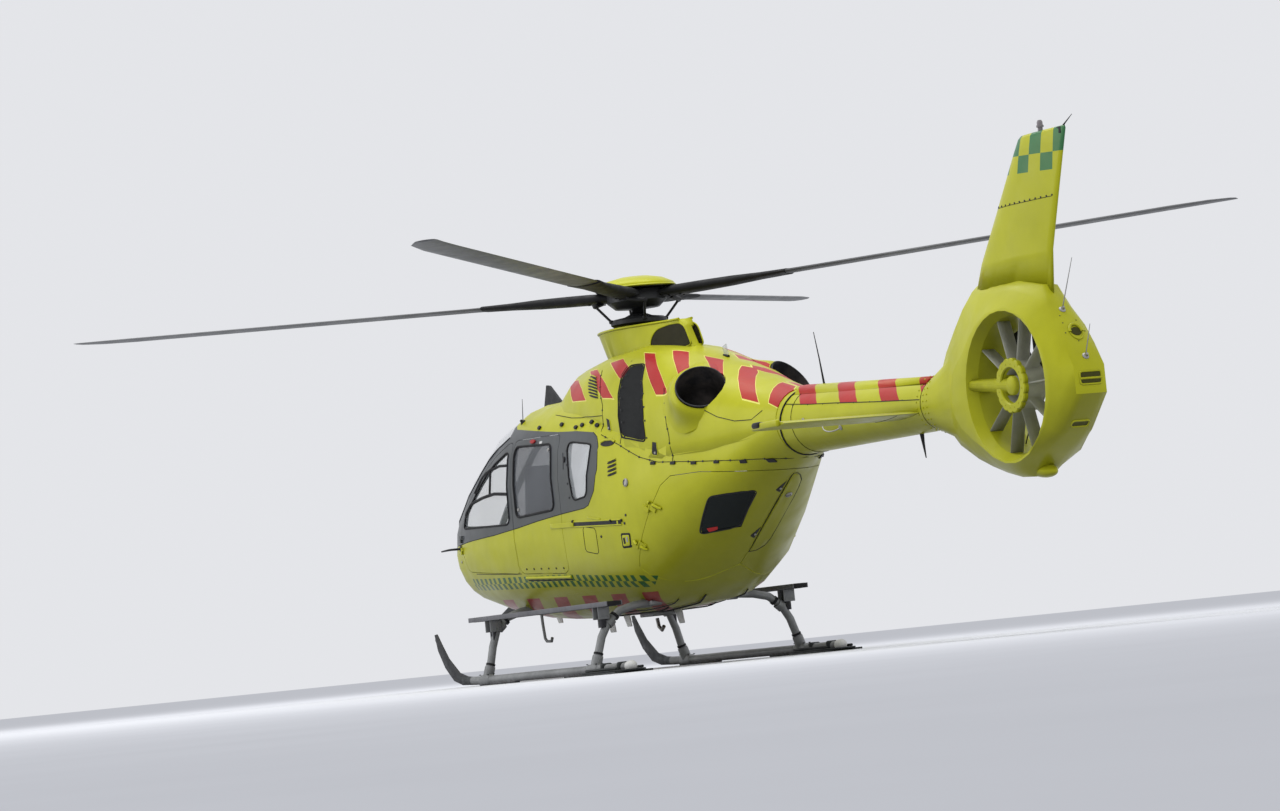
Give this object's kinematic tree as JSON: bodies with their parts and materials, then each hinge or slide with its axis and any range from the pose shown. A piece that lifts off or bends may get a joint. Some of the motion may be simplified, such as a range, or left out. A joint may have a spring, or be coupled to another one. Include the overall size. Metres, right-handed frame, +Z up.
{
  "type": "rescue helicopter",
  "caption": "Light rescue helicopter with hollow cabin, hinged doors, skids, hingeless main rotor and shrouded tail rotor in the fin.",
  "frame": {"origin": "centre of the bounding box in plan, at ground level under the skids", "axes": "+X to the port side, +Y aft towards the tail, +Z up"},
  "size_m": [7.424, 10.574, 3.54],
  "materials": {
    "yellow_composite": "gloss yellow-green paint on composite",
    "yellow_body": "gloss yellow-green paint on composite",
    "yellow_boom": "gloss yellow-green paint on composite",
    "grey_vanes": "satin",
    "tinted_glass": "tinted acrylic",
    "clear_glass": "clear acrylic",
    "grey_blade": "satin grey",
    "grey_gear": "satin grey paint",
    "grey_steel": "satin",
    "grey_floor": "anti-slip grey",
    "dark_fabric": "dark woven cover",
    "black_plastic": "matt black",
    "engine_alloy": "cast",
    "dark_steel": "heat-darkened",
    "dark_alloy": "satin dark grey"
  },
  "bodies": {
    "airframe": {"belly_shell": "yellow_body", "cabin_floor": "grey_floor", "cabin_structure": "yellow_body", "cowling_front": "yellow_composite", "cowling_left": "yellow_composite", "cowling_rear": "yellow_composite", "cowling_right": "yellow_composite", "crew_seat_left": "dark_fabric", "crew_seat_right": "dark_fabric", "cross_tube_front": "grey_gear", "cross_tube_rear": "grey_gear", "engine_left": "engine_alloy", "engine_right": "engine_alloy", "exhaust_left": "dark_steel", "exhaust_right": "dark_steel", "fenestron_shroud": "yellow_composite", "gearbox": "engine_alloy", "instrument_panel": "black_plastic", "intake_grille_left": "black_plastic", "intake_grille_right": "black_plastic", "nose_shell": "yellow_body", "pylon_fairing": "yellow_composite", "shaft_cover": "yellow_composite", "side_window_left": "tinted_glass", "side_window_right": "tinted_glass", "skid_left": "grey_gear", "skid_right": "grey_gear", "sliding_door_glass_left": "tinted_glass", "sliding_door_glass_right": "tinted_glass", "sliding_door_left": "yellow_composite", "sliding_door_right": "yellow_composite", "stabiliser_left": "yellow_composite", "stabiliser_right": "yellow_composite", "stator": "grey_vanes", "step_left": "grey_gear", "step_right": "grey_gear", "stretcher": "dark_fabric", "tail_boom": "yellow_boom", "vertical_fin": "yellow_composite", "windscreen_left": "clear_glass", "windscreen_right": "clear_glass", "wire_cutter_lower": "grey_steel", "wire_cutter_upper": "grey_steel"},
    "main_rotor": {"rotor_hub": "dark_steel", "rotor_cap": "yellow_composite", "main_blade_1": "grey_blade", "main_blade_2": "grey_blade", "main_blade_3": "grey_blade", "main_blade_4": "grey_blade"},
    "tail_rotor": {"tail_rotor": "dark_alloy"},
    "front_door_left": {"front_door_left": "yellow_composite", "front_door_glass_left": "tinted_glass"},
    "front_door_right": {"front_door_right": "yellow_composite", "front_door_glass_right": "tinted_glass"},
    "rear_door_left": {"rear_door_left": "yellow_composite", "rear_door_glass_left": "tinted_glass"},
    "rear_door_right": {"rear_door_right": "yellow_composite"}
  },
  "joints": [
    {"name": "main_rotor_spin", "type": "hinge", "parent": "airframe", "child": "main_rotor", "pos_m": [0, -1.575, 3.107], "axis": [0, 0, 1], "continuous": true},
    {"name": "tail_rotor_spin", "type": "hinge", "parent": "airframe", "child": "tail_rotor", "pos_m": [0, 4.472, 1.78], "axis": [1, 0, 0], "continuous": true},
    {"name": "front_door_left_hinge", "type": "hinge", "parent": "airframe", "child": "front_door_left", "pos_m": [0.69, -4.051, 1.235], "axis": [0, 0, -1], "range_deg": [0, 75]},
    {"name": "front_door_right_hinge", "type": "hinge", "parent": "airframe", "child": "front_door_right", "pos_m": [-0.69, -4.051, 1.235], "axis": [0, 0, 1], "range_deg": [0, 75]},
    {"name": "rear_door_left_hinge", "type": "hinge", "parent": "airframe", "child": "rear_door_left", "pos_m": [0.7035, -0.48, 1.145], "axis": [0.0379, -0.6101, -0.7914], "range_deg": [0, 90]},
    {"name": "rear_door_right_hinge", "type": "hinge", "parent": "airframe", "child": "rear_door_right", "pos_m": [-0.7035, -0.48, 1.145], "axis": [0.0379, 0.6101, 0.7914], "range_deg": [0, 90]}
  ]
}
